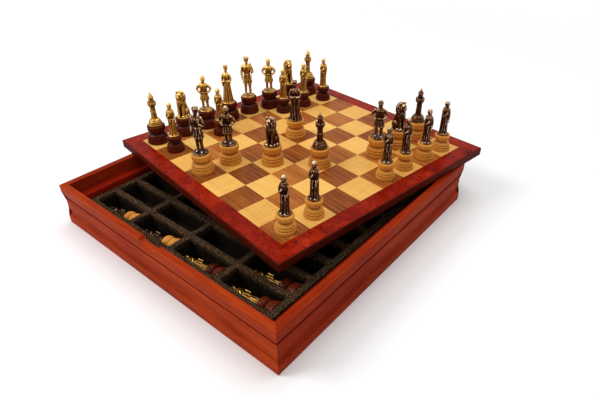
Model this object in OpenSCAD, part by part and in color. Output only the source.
// Chess box: a moulded tray with a foam insert, a loose chessboard that is
// its lid, and a full set of thirty-two men on turned bases.
// The origin is the middle of the tray's underside. +X runs along the notched
// front wall and +Z is up. Lengths are in millimetres, angles in degrees.

/* [Chessboard] */
// Side of one field
field = 36; // [32:0.5:40]
// Width of the burl border round the fields
border_w = 20; // [14:0.5:26]
// Thickness of the whole board
board_t = 10; // [7:0.5:14]
// Thickness of the sawn veneers on both faces
veneer_t = 0.9; // [0.6:0.1:1.6]
// Thickness of the banding glued round the board's edge
band_t = 1.2; // [0.8:0.1:2]
// Joint line left between neighbouring veneers
veneer_gap = 0.06; // [0.04:0.02:0.2]

/* [Where the board lies] */
// Board's middle from the tray's middle, along the front wall
board_x = -9; // [-14:0.5:0]
// Board's middle from the tray's middle, away from the front wall
board_y = 67; // [62:0.5:74]
// Turn of the board on the rim
board_turn = -8.8; // [-11:0.1:-6]

/* [Tray] */
// Height of the tray from its foot to its rim
tray_h = 54; // [50:0.5:64]
// Play on each side between the board's edge and the walls
board_play = 0.5; // [0.3:0.1:1.5]
// Thickness of the walls at the rim
wall_t = 8; // [7:0.5:12]
// Depth from the rim to the ledge that carries the closed board
seat_depth = 16; // [14:0.5:18]
// Width of the ledges on the left and right
side_ledge_w = 12; // [8:0.5:15]
// Width of the ledges at the front and back
end_ledge_w = 7; // [5:0.5:7]
// Thickness of the bottom panel
panel_t = 5; // [4:0.5:6]

/* [Wall moulding] */
// Height of the plain foot band
foot_h = 10.5; // [8:0.5:11]
// Depth of the flat above the foot band
flat_in = 2.8; // [1.5:0.1:3.2]
// Depth of the middle band
band_in = 1.9; // [1:0.1:2.6]
// Height of the middle band's lower edge
band_low = 22; // [20:0.5:24]
// Height of the middle band's upper edge
band_top = 34.5; // [32:0.5:36]
// Width of the groove over the middle band
groove_w = 1.8; // [1:0.1:2.2]
// Depth of that groove
groove_in = 3.4; // [3:0.1:4.4]
// Height of the plain lip at the rim
lip_h = 9.5; // [6:0.5:10]
// Width of the finger notch in the front rim
notch_w = 28; // [20:1:40]
// Depth of the finger notch
notch_d = 6; // [5:0.5:9]

/* [Foam insert] */
// Thickness of the foam sheet under the pockets
foam_base_t = 5; // [4:0.5:5]
// Height of the foam strips, which is the depth of the pockets
foam_h = 24; // [23.5:0.5:25]
// Room between the foam and the side ledges
foam_side_gap = 5; // [2:0.5:7]
// Width of the foam strips at the left and right ends
foam_end_w = 7.5; // [5:0.5:9]
// Width of the foam strips at the front and back
foam_edge_w = 10; // [8:0.5:11]
// Width of the strips between the rows of pockets for the pawns
foam_row_w = 7.5; // [6:0.5:8]
// Thickness of the dividers in the rows
divider_t = 7; // [5:0.5:7.5]
// Play round a piece in its pocket, on each side
pocket_play = 0.4; // [0.3:0.1:0.6]

/* [Pawns] */
// Diameter of a pawn's base
pawn_base_d = 22; // [21:0.5:22.5]
// Height of a pawn's base
pawn_base_h = 20; // [17:0.5:23]
// Height of a whole pawn
pawn_h = 62.5; // [58:0.5:63]
// Angle at which a stored pawn lies down towards its head
lie_tilt = 5; // [3:0.5:5.5]

/* [Back row] */
// Diameter of the bases of the back row
man_base_d = 27; // [25:0.5:28]
// Height of those bases
man_base_h = 23.5; // [20:0.5:26]
// Height of a king
king_h = 80.5; // [76:0.5:82]
// Height of a queen
queen_h = 76.5; // [72:0.5:80]
// Height of a bishop
bishop_h = 72; // [68:0.5:76]
// Height of a knight
knight_h = 60; // [56:0.5:62]
// Height of a tower
tower_h = 68; // [64:0.5:74]

/* [Hidden] */

$fn = 64;
cut = 1;                      // how far a cutting body runs past what it cuts
files = 8;                    // fields along one side of the board

// Board
board_side = files * field + 2 * border_w;
core_side = board_side - 2 * band_t;
core_t = board_t - 2 * veneer_t;
rim_gap = 0.05;               // room kept between the rim and the board that lies on it
board_bottom = tray_h + rim_gap;
board_top = board_bottom + board_t;

// Tray
opening = board_side + 2 * board_play;
tray_side = opening + 2 * wall_t;
ledge_top = tray_h - seat_depth;
lip_round = 1;                // rounding of the rim's outer edge
foot_round = 0.8;             // rounding of the foot's lower edge
notch_r = (notch_w * notch_w / 4 + notch_d * notch_d) / (2 * notch_d);

// Foam
foam_floor = panel_t + foam_base_t;
foam_top = foam_floor + foam_h;
foam_x = opening - 2 * side_ledge_w - 2 * foam_side_gap;
foam_end_gap = 0.5;           // room between the foam and the front and back ledges
foam_y = opening - 2 * end_ledge_w - 2 * foam_end_gap;
pocket_x = foam_x - 2 * foam_end_w;
pocket_y = foam_y - 2 * foam_edge_w;
pawn_rows = 4;                // rows with pockets for pawns
man_rows = 5;                 // rows for the back row: one for knights, then four for the rest
pawn_pocket_w = pawn_base_d + 2 * pocket_play;
man_pocket_w = man_base_d + 2 * pocket_play;
man_row_w = (pocket_y - pawn_rows * (pawn_pocket_w + foam_row_w)
    - man_rows * man_pocket_w) / (man_rows - 1);
row_count = pawn_rows + man_rows;
function row_width(j) = j < pawn_rows ? pawn_pocket_w : man_pocket_w;
function row_gap(j) = j < pawn_rows ? foam_row_w : man_row_w;
function row_start(j) = j == 0 ? -pocket_y / 2
    : row_start(j - 1) + row_width(j - 1) + row_gap(j - 1);
// Length of a pawn that lies on the edge of its base and on its head
lying_pawn = pawn_h * cos(lie_tilt) + pawn_base_d / 2 * sin(lie_tilt);
// As many pockets as fit in a row beside each other
function fitting(length) = floor((pocket_x + divider_t) / (length + 2 * pocket_play + divider_t));
function row_pockets(j) = fitting(j < pawn_rows ? lying_pawn : j == pawn_rows ? knight_h : king_h);
function pocket_length(j) = (pocket_x - (row_pockets(j) - 1) * divider_t) / row_pockets(j);
function pocket_start(j, i) = -pocket_x / 2 + i * (pocket_length(j) + divider_t);

// Colours
wall_colour = "#b8482a";
ledge_colour = "#a83420";
foam_colour = "#4a4038";
maple_colour = "#f0c97c";
walnut_colour = "#96552c";
burl_colour = "#b5361d";
banding_colour = "#5a4238";
core_colour = "#c9a878";
boxwood_colour = "#dca550";
stained_colour = "#5a1f14";
gold_colour = "#c99a3c";
silver_colour = "#8d857e";

// Points on a quarter circle round a middle, from one angle to another
function arc(middle, r, from, to, steps = 5) =
    [for (i = [0:steps]) middle + r * [cos(from + (to - from) * i / steps),
                                       sin(from + (to - from) * i / steps)]];

// ---------- Tray ----------

cove_low = band_top + groove_w;         // foot of the hollow under the lip
cove_top = tray_h - lip_h;
cove_in = band_in + 0.6;

// The wall's section: x is the depth in from the outer face, y is the height
wall_section = concat(
    arc([foot_round, foot_round], foot_round, 270, 180, 3),
    [[0, foot_h]],
    [[flat_in * 0.55, foot_h + 0.9], [flat_in, foot_h + flat_in]],
    [[flat_in, band_low - 3.5]],
    [[(flat_in + band_in) / 2, band_low - 2.2], [band_in, band_low]],
    [[band_in, band_top], [groove_in, band_top], [groove_in, cove_low], [cove_in, cove_low]],
    [for (i = [1:5]) [cove_in * (1 - pow(i / 5, 1.7)), cove_low + (cove_top - cove_low) * i / 5]],
    arc([lip_round, tray_h - lip_round], lip_round, 180, 90, 3),
    [[wall_t, tray_h], [wall_t, 0]]
);

// One mitred length of the moulding, its outer face towards -Y
module mitred_wall() {
    color(wall_colour) intersection() {
        translate([-tray_side / 2, -tray_side / 2, 0])
            rotate([90, 0, 90]) linear_extrude(tray_side) polygon(wall_section);
        translate([0, -tray_side / 2, -cut]) linear_extrude(tray_h + 2 * cut)
            polygon([[-tray_side / 2, 0], [tray_side / 2, 0],
                     [tray_side / 2 - wall_t, wall_t], [-tray_side / 2 + wall_t, wall_t]]);
    }
}

module front_wall() {
    color(wall_colour) difference() {
        mitred_wall();
        translate([0, -tray_side / 2 - cut, tray_h - notch_d + notch_r])
            rotate([-90, 0, 0]) cylinder(h = wall_t + 2 * cut, r = notch_r, $fn = 96);
    }
}

module right_wall() rotate([0, 0, 90]) mitred_wall();
module back_wall() rotate([0, 0, 180]) mitred_wall();
module left_wall() rotate([0, 0, 270]) mitred_wall();

module bottom_panel() {
    color(ledge_colour) translate([-opening / 2, -opening / 2, 0])
        cube([opening, opening, panel_t]);
}

// A ledge strip glued inside a wall, from the panel up to the board's seat
module ledge(length, width) {
    color(ledge_colour) translate([-length / 2, -opening / 2, panel_t])
        cube([length, width, ledge_top - panel_t]);
}

module front_ledge() ledge(opening - 2 * side_ledge_w, end_ledge_w);
module back_ledge() rotate([0, 0, 180]) ledge(opening - 2 * side_ledge_w, end_ledge_w);
module right_ledge() rotate([0, 0, 90]) ledge(opening, side_ledge_w);
module left_ledge() rotate([0, 0, 270]) ledge(opening, side_ledge_w);

// ---------- Foam insert ----------

module foam_base() {
    color(foam_colour) translate([-foam_x / 2, -foam_y / 2, panel_t])
        cube([foam_x, foam_y, foam_base_t]);
}

// Long strips: one at the front, one between each two rows, one at the back
module foam_rows() {
    length = pocket_x;
    color(foam_colour) {
        translate([-length / 2, -foam_y / 2, foam_floor]) cube([length, foam_edge_w, foam_h]);
        translate([-length / 2, foam_y / 2 - foam_edge_w, foam_floor])
            cube([length, foam_edge_w, foam_h]);
        for (j = [0:row_count - 2])
            translate([-length / 2, row_start(j) + row_width(j), foam_floor])
                cube([length, row_gap(j), foam_h]);
    }
}

// The strips at the left and right ends, the full depth of the insert
module foam_ends() {
    color(foam_colour) for (x = [-foam_x / 2, foam_x / 2 - foam_end_w])
        translate([x, -foam_y / 2, foam_floor]) cube([foam_end_w, foam_y, foam_h]);
}

// Short strips that divide each row into pockets
module foam_dividers() {
    color(foam_colour) for (j = [0:row_count - 1], i = [1:row_pockets(j) - 1])
        translate([pocket_start(j, i) - divider_t, row_start(j), foam_floor])
            cube([divider_t, row_width(j), foam_h]);
}

// ---------- Chessboard ----------

// Moves what is drawn round the board's middle to where the board lies
module on_board() {
    translate([board_x, board_y, 0]) rotate([0, 0, board_turn]) children();
}

module board_core() {
    color(core_colour) on_board()
        translate([-core_side / 2, -core_side / 2, board_bottom + veneer_t])
            cube([core_side, core_side, core_t]);
}

// The middle of a field: column from the front corner to the right one,
// row from the front corner to the left one, both counted from 0
function field_x(row) = -(row + 0.5 - files / 2) * field;
function field_y(column) = (column + 0.5 - files / 2) * field;

// All the fields of one colour
module fields(odd) {
    side = field - veneer_gap;
    on_board() for (c = [0:files - 1], r = [0:files - 1])
        if ((c + r) % 2 == odd)
            translate([field_x(r) - side / 2, field_y(c) - side / 2, board_top - veneer_t])
                cube([side, side, veneer_t]);
}

module dark_fields() color(walnut_colour) fields(0);
module light_fields() color(maple_colour) fields(1);

// One mitred strip of the border, on the side towards -Y
module border_shape() {
    inner = files * field / 2 + veneer_gap / 2;
    outer = core_side / 2;
    translate([0, 0, board_top - veneer_t]) linear_extrude(veneer_t)
        polygon([[-outer + veneer_gap, -outer], [outer - veneer_gap, -outer],
                 [inner - veneer_gap, -inner], [-inner + veneer_gap, -inner]]);
}

module front_border() color(burl_colour) on_board() border_shape();
module right_border() color(burl_colour) on_board() rotate([0, 0, 90]) border_shape();
module back_border() color(burl_colour) on_board() rotate([0, 0, 180]) border_shape();
module left_border() color(burl_colour) on_board() rotate([0, 0, 270]) border_shape();

// One mitred strip of edge banding, on the side towards -Y
module banding_shape() {
    outer = board_side / 2;
    inner = core_side / 2;
    translate([0, 0, board_bottom]) linear_extrude(board_t)
        polygon([[-outer, -outer], [outer, -outer], [inner, -inner], [-inner, -inner]]);
}

module front_banding() color(banding_colour) on_board() banding_shape();
module right_banding() color(banding_colour) on_board() rotate([0, 0, 90]) banding_shape();
module back_banding() color(banding_colour) on_board() rotate([0, 0, 180]) banding_shape();
module left_banding() color(banding_colour) on_board() rotate([0, 0, 270]) banding_shape();

module underside_veneer() {
    color(walnut_colour) on_board() translate([-core_side / 2, -core_side / 2, board_bottom])
        cube([core_side, core_side, veneer_t]);
}

// ---------- Men ----------

base_step = 0.5;              // depth of the smallest steps on a turned base

// A turned base: a foot band and two rings with grooves between them, a waist,
// and a bowl that widens to the collar. The waist's radius is a share of the foot's.
module turned_base(diameter, height, waist_share) {
    r = diameter / 2;
    e = base_step;
    waist = r * waist_share;
    collar = r * 0.85;
    foot = height * 0.2;
    ring = height * 0.33;
    shoulder = height * 0.44;
    neck = height * 0.56;
    collar_low = height * 0.8;
    rotate_extrude() polygon(concat(
        [[0, 0], [r - e, 0], [r, 1.2 * e], [r, foot - 0.6 * e], [r - 0.6 * e, foot]],
        [[r - 2.4 * e, foot], [r - 2.4 * e, foot + 0.8 * e], [r - 1.4 * e, foot + 1.4 * e]],
        [[r - 1.4 * e, ring - 0.6 * e], [r - 2 * e, ring], [r - 4 * e, ring]],
        [[r - 4 * e, ring + 0.8 * e], [r - 3 * e, ring + 1.4 * e], [r - 3.4 * e, shoulder - e]],
        [for (i = [0:5]) [waist + (r - 4.2 * e - waist) * pow(1 - i / 5, 2),
                          shoulder + (neck - shoulder) * i / 5]],
        [for (i = [1:6]) [waist + (collar - waist) * sin(15 * i),
                          neck + e + (collar_low - neck) * pow(i / 6, 1.6)]],
        [[collar, height - 3.2 * e], [collar - 0.8 * e, height - 1.2 * e]],
        [[collar - 2.4 * e, height], [0, height]]
    ));
}

// A round limb from one point to another
module limb(a, b, ra, rb) {
    v = b - a;
    translate(a) rotate([0, acos(v.z / norm(v)), atan2(v.y, v.x)])
        cylinder(h = norm(v), r1 = ra, r2 = rb, $fn = 24);
}

module ball(at, r) translate(at) sphere(r = r, $fn = 32);

// Both arms of a figure: shoulder, elbow and hand of the right one, mirrored
module arms(shoulder, elbow, hand, r) for (m = [0, 1]) mirror([m, 0, 0]) {
    limb(shoulder, elbow, r, r * 0.85);
    ball(shoulder, r * 1.12);
    ball(elbow, r * 0.95);
    limb(elbow, hand, r * 0.82, r * 0.6);
    ball(hand, r * 0.85);
}

// Both legs up to under the tunic, each with its foot, one a step ahead
module legs(hip_z, step) for (m = [0, 1]) {
    side = m == 0 ? 1 : -1;
    translate([side * 3, step * (m - 0.5), 1]) cylinder(h = hip_z - 1, r1 = 1.7, r2 = 2.5);
    translate([side * 3.3, step * (m - 0.5) - 2.4, 1]) cylinder(h = 2.4, r1 = 1.7, r2 = 1.5);
}

// The round metal plate that every figure stands on
module plate(r) rotate_extrude() polygon([[0, 0], [r, 0], [r, 1.2], [r - 0.6, 1.8], [0, 1.8]]);

// A standing page in a long robe, hands folded
module pawn_figure() {
    plate(6.8);
    rotate_extrude() polygon([[0, 1], [5.2, 1], [5, 4], [4.3, 14], [4, 22], [4.7, 28.4],
                              [4.2, 31.4], [1.9, 33.4], [1.8, 36], [0, 36]]);
    ball([0, 0, 38.6], 3.9);
    arms([3.7, 0, 29.8], [4.3, -1, 23.6], [0.9, -4.2, 22], 1.4);
}

// A crowned king in a short tunic, a sceptre held to his shoulder
module king_figure() {
    plate(9.4);
    legs(22.4, 1.4);
    rotate_extrude() polygon([[0, 20], [6.4, 20], [6, 23], [4.9, 31], [4.6, 34], [5.7, 41],
                              [5.3, 44.6], [2.2, 46.8], [2.1, 49.5], [0, 49.5]]);
    ball([0, 0, 51.4], 3.8);
    translate([0, 0, 52.6]) cylinder(h = 4.4, r1 = 3.6, r2 = 4.2);
    limb([-5.8, 0, 43.2], [-7.6, 0.4, 34.5], 2, 1.7);
    ball([-5.8, 0, 43.2], 2.2);
    ball([-7.6, 0.4, 34.5], 1.8);
    limb([-7.6, 0.4, 34.5], [-7.2, -1.6, 27], 1.6, 1.2);
    ball([-7.2, -1.6, 26.6], 1.6);
    limb([5.8, 0, 43.2], [8, 0.2, 35], 2, 1.7);
    ball([5.8, 0, 43.2], 2.2);
    ball([8, 0.2, 35], 1.8);
    limb([8, 0.2, 35], [6, -5.2, 38.2], 1.6, 1.2);
    ball([5.8, -5.4, 38.4], 1.6);
    limb([6.2, -6, 29], [5.4, -4.6, 47.5], 0.8, 0.8);
    ball([5.4, -4.6, 48], 1.5);
}

// A queen in a long gown and a coronet, hands joined
module queen_figure() {
    plate(9.4);
    rotate_extrude() polygon([[0, 1], [7.4, 1], [6.9, 5], [5.8, 14], [5.1, 22], [3.6, 31.5],
                              [4.8, 37], [4.5, 39.8], [1.9, 42.5], [1.7, 45.5], [0, 45.5]]);
    ball([0, 0, 47.4], 3.6);
    ball([0, 3.2, 47.8], 2.1);
    translate([0, 0, 49.2]) cylinder(h = 3.8, r1 = 3.2, r2 = 3.8);
    arms([4.6, 0, 38.4], [6.1, -0.8, 30.6], [0.9, -5, 31.4], 1.6);
}

// A bishop in a tunic and a pointed cap, hands on his hips
module bishop_figure() {
    plate(9.4);
    legs(18.5, 1.4);
    rotate_extrude() polygon([[0, 14.6], [6.4, 14.6], [5.9, 17], [4.4, 25.5], [5.5, 32.6],
                              [5, 35.6], [2, 38], [1.9, 40.4], [0, 40.4]]);
    ball([0, 0, 41.8], 3.5);
    translate([0, 0, 43]) cylinder(h = 5.5, r1 = 3.6, r2 = 0.5);
    arms([5.2, 0, 34.4], [9.4, 1, 29.4], [4.4, -2.4, 25], 1.7);
}

// A seated lion
module knight_figure() {
    plate(9.4);
    for (m = [0, 1]) mirror([m, 0, 0]) {
        ball([3.4, 3.2, 6.4], 4.6);
        limb([2.7, -4.6, 2], [2.9, -2.4, 20], 1.7, 2.4);
        limb([2.7, -3.8, 2.8], [2.8, -6.6, 2.6], 1.9, 1.6);
        ball([3.8, -1.8, 34.8], 1.7);
    }
    limb([0, 3.2, 5], [0, -0.6, 22], 6.2, 4.8);
    ball([0, -0.6, 26.6], 6.8);
    ball([0, -2.6, 30.2], 5.2);
    limb([0, -6, 29.2], [0, -9, 28.2], 2.8, 2.2);
}

// A slim watchtower with a gallery on corbels, a lantern and a pointed roof
module tower_figure() {
    rotate_extrude() polygon([[0, 0], [9, 0], [9, 2], [8.3, 2.4], [8.3, 4], [7.6, 4.5],
                              [7.6, 6], [6.6, 6.6], [6.4, 7.8], [4.6, 8.8], [3.7, 10],
                              [3.3, 24], [3.6, 25], [5.4, 28], [5.6, 28.6], [5.6, 31.6],
                              [4.9, 31.6], [4.9, 30.4], [3, 30.4], [2.9, 36.2], [3.6, 36.8],
                              [3.6, 37.4], [0.7, 42.8], [0.5, 44.2], [0, 44.5]]);
}

figure_gap = 0.1;             // joint between a figure's plate and its base

// One whole man, standing at the origin and facing -Y
module man(kind, metal) {
    pawn = kind == "pawn";
    d = pawn ? pawn_base_d : man_base_d;
    h = pawn ? pawn_base_h : man_base_h;
    whole = pawn ? pawn_h : kind == "king" ? king_h : kind == "queen" ? queen_h
        : kind == "bishop" ? bishop_h : kind == "knight" ? knight_h : tower_h;
    // The height at which the figure's own module draws it
    drawn = pawn ? 42.5 : kind == "king" ? 57 : kind == "queen" ? 53
        : kind == "bishop" ? 48.5 : kind == "knight" ? 36.5 : 44.5;
    color(metal == "gold" ? stained_colour : boxwood_colour) turned_base(d, h, pawn ? 0.56 : 0.68);
    color(metal == "gold" ? gold_colour : silver_colour)
        translate([0, 0, h + figure_gap]) scale((whole - h - figure_gap) / drawn) {
            if (kind == "pawn") pawn_figure();
            if (kind == "king") king_figure();
            if (kind == "queen") queen_figure();
            if (kind == "bishop") bishop_figure();
            if (kind == "knight") knight_figure();
            if (kind == "tower") tower_figure();
        }
}

// A man on a field. The shifts are from the field's middle, towards the higher
// column and the higher row, for a field of 36. The turn is about his own axis.
module standing(kind, metal, column, row, shift = [0, 0], turn = 50) {
    off = shift * field / 36;
    on_board() translate([field_x(row) - off[1], field_y(column) + off[0], board_top])
        rotate([0, 0, turn]) man(kind, metal);
}

rest_gap = 0.3;               // play under a stored pawn

// A pawn laid in a pocket, its base to the right, resting on base and head. The
// pockets are counted from the left one at the front, row by row, from 0.
module stored(metal, pocket, roll) {
    j = floor(pocket / row_pockets(0));
    i = pocket - j * row_pockets(0);
    r = pawn_base_d / 2;
    right_end = pocket_start(j, i) + pocket_length(j);
    translate([right_end - pocket_play - r * sin(lie_tilt), row_start(j) + row_width(j) / 2,
               foam_floor + rest_gap + r * cos(lie_tilt)])
        rotate([0, -90 - lie_tilt, 0]) rotate([0, 0, 90 + roll]) man("pawn", metal);
}

module gold_king() standing("king", "gold", 4, 7, [-2, 0], 55);
module gold_queen() standing("queen", "gold", 3, 7, [0, 1], 40);
module gold_bishop_1() standing("bishop", "gold", 2, 7, [-2, -1], 50);
module gold_bishop_2() standing("bishop", "gold", 5, 7, [-4, -5], 45);
module gold_knight_1() standing("knight", "gold", 1, 7, [0, 0], 35);
module gold_knight_2() standing("knight", "gold", 6, 7, [0, 0], 75);
module gold_tower_1() standing("tower", "gold", 0, 7, [-3, 3]);
module gold_tower_2() standing("tower", "gold", 7, 7, [2, -3]);
module gold_pawn_1() standing("pawn", "gold", 0, 6, [2, 2], 50);
module gold_pawn_2() standing("pawn", "gold", 2, 6, [-1, 2], 45);
module gold_pawn_3() standing("pawn", "gold", 5, 6, [-1, 2], 40);
module gold_pawn_4() standing("pawn", "gold", 6, 6, [0, 0], 50);
module gold_pawn_5() standing("pawn", "gold", 7, 6, [1, -3], 60);
module gold_pawn_6() stored("gold", 2, 20);
module gold_pawn_7() stored("gold", 3, 0);
module gold_pawn_8() stored("gold", 7, 15);
module silver_king() standing("king", "silver", 0, 4, [0, 6], 30);
module silver_queen() standing("queen", "silver", 4, 4, [-4, 2], 45);
module silver_bishop_1() standing("bishop", "silver", 1, 4, [1, 3], 35);
module silver_bishop_2() standing("bishop", "silver", 5, 1, [0, 3], 35);
module silver_knight_1() standing("knight", "silver", 2, 3, [1, 2], 20);
module silver_knight_2() standing("knight", "silver", 6, 1, [0, 1], 80);
module silver_tower_1() standing("tower", "silver", 3, 2, [3, -4]);
module silver_tower_2() standing("tower", "silver", 7, 1, [0, 0]);
module silver_pawn_1() standing("pawn", "silver", 0, 0, [-1, -3], 25);
module silver_pawn_2() standing("pawn", "silver", 1, 0, [1, -3], 30);
module silver_pawn_3() standing("pawn", "silver", 4, 0, [3, -3], 35);
module silver_pawn_4() standing("pawn", "silver", 5, 0, [0, -3], 45);
module silver_pawn_5() standing("pawn", "silver", 6, 0, [1, -4], 50);
module silver_pawn_6() standing("pawn", "silver", 7, 0, [-1, -4], 60);
module silver_pawn_7() stored("silver", 0, 30);
module silver_pawn_8() stored("silver", 1, 10);

front_wall();
back_wall();
left_wall();
right_wall();
bottom_panel();
front_ledge();
back_ledge();
left_ledge();
right_ledge();
foam_base();
foam_rows();
foam_ends();
foam_dividers();
board_core();
light_fields();
dark_fields();
front_border();
back_border();
left_border();
right_border();
front_banding();
back_banding();
left_banding();
right_banding();
underside_veneer();
gold_king();
gold_queen();
gold_bishop_1();
gold_bishop_2();
gold_knight_1();
gold_knight_2();
gold_tower_1();
gold_tower_2();
gold_pawn_1();
gold_pawn_2();
gold_pawn_3();
gold_pawn_4();
gold_pawn_5();
gold_pawn_6();
gold_pawn_7();
gold_pawn_8();
silver_king();
silver_queen();
silver_bishop_1();
silver_bishop_2();
silver_knight_1();
silver_knight_2();
silver_tower_1();
silver_tower_2();
silver_pawn_1();
silver_pawn_2();
silver_pawn_3();
silver_pawn_4();
silver_pawn_5();
silver_pawn_6();
silver_pawn_7();
silver_pawn_8();
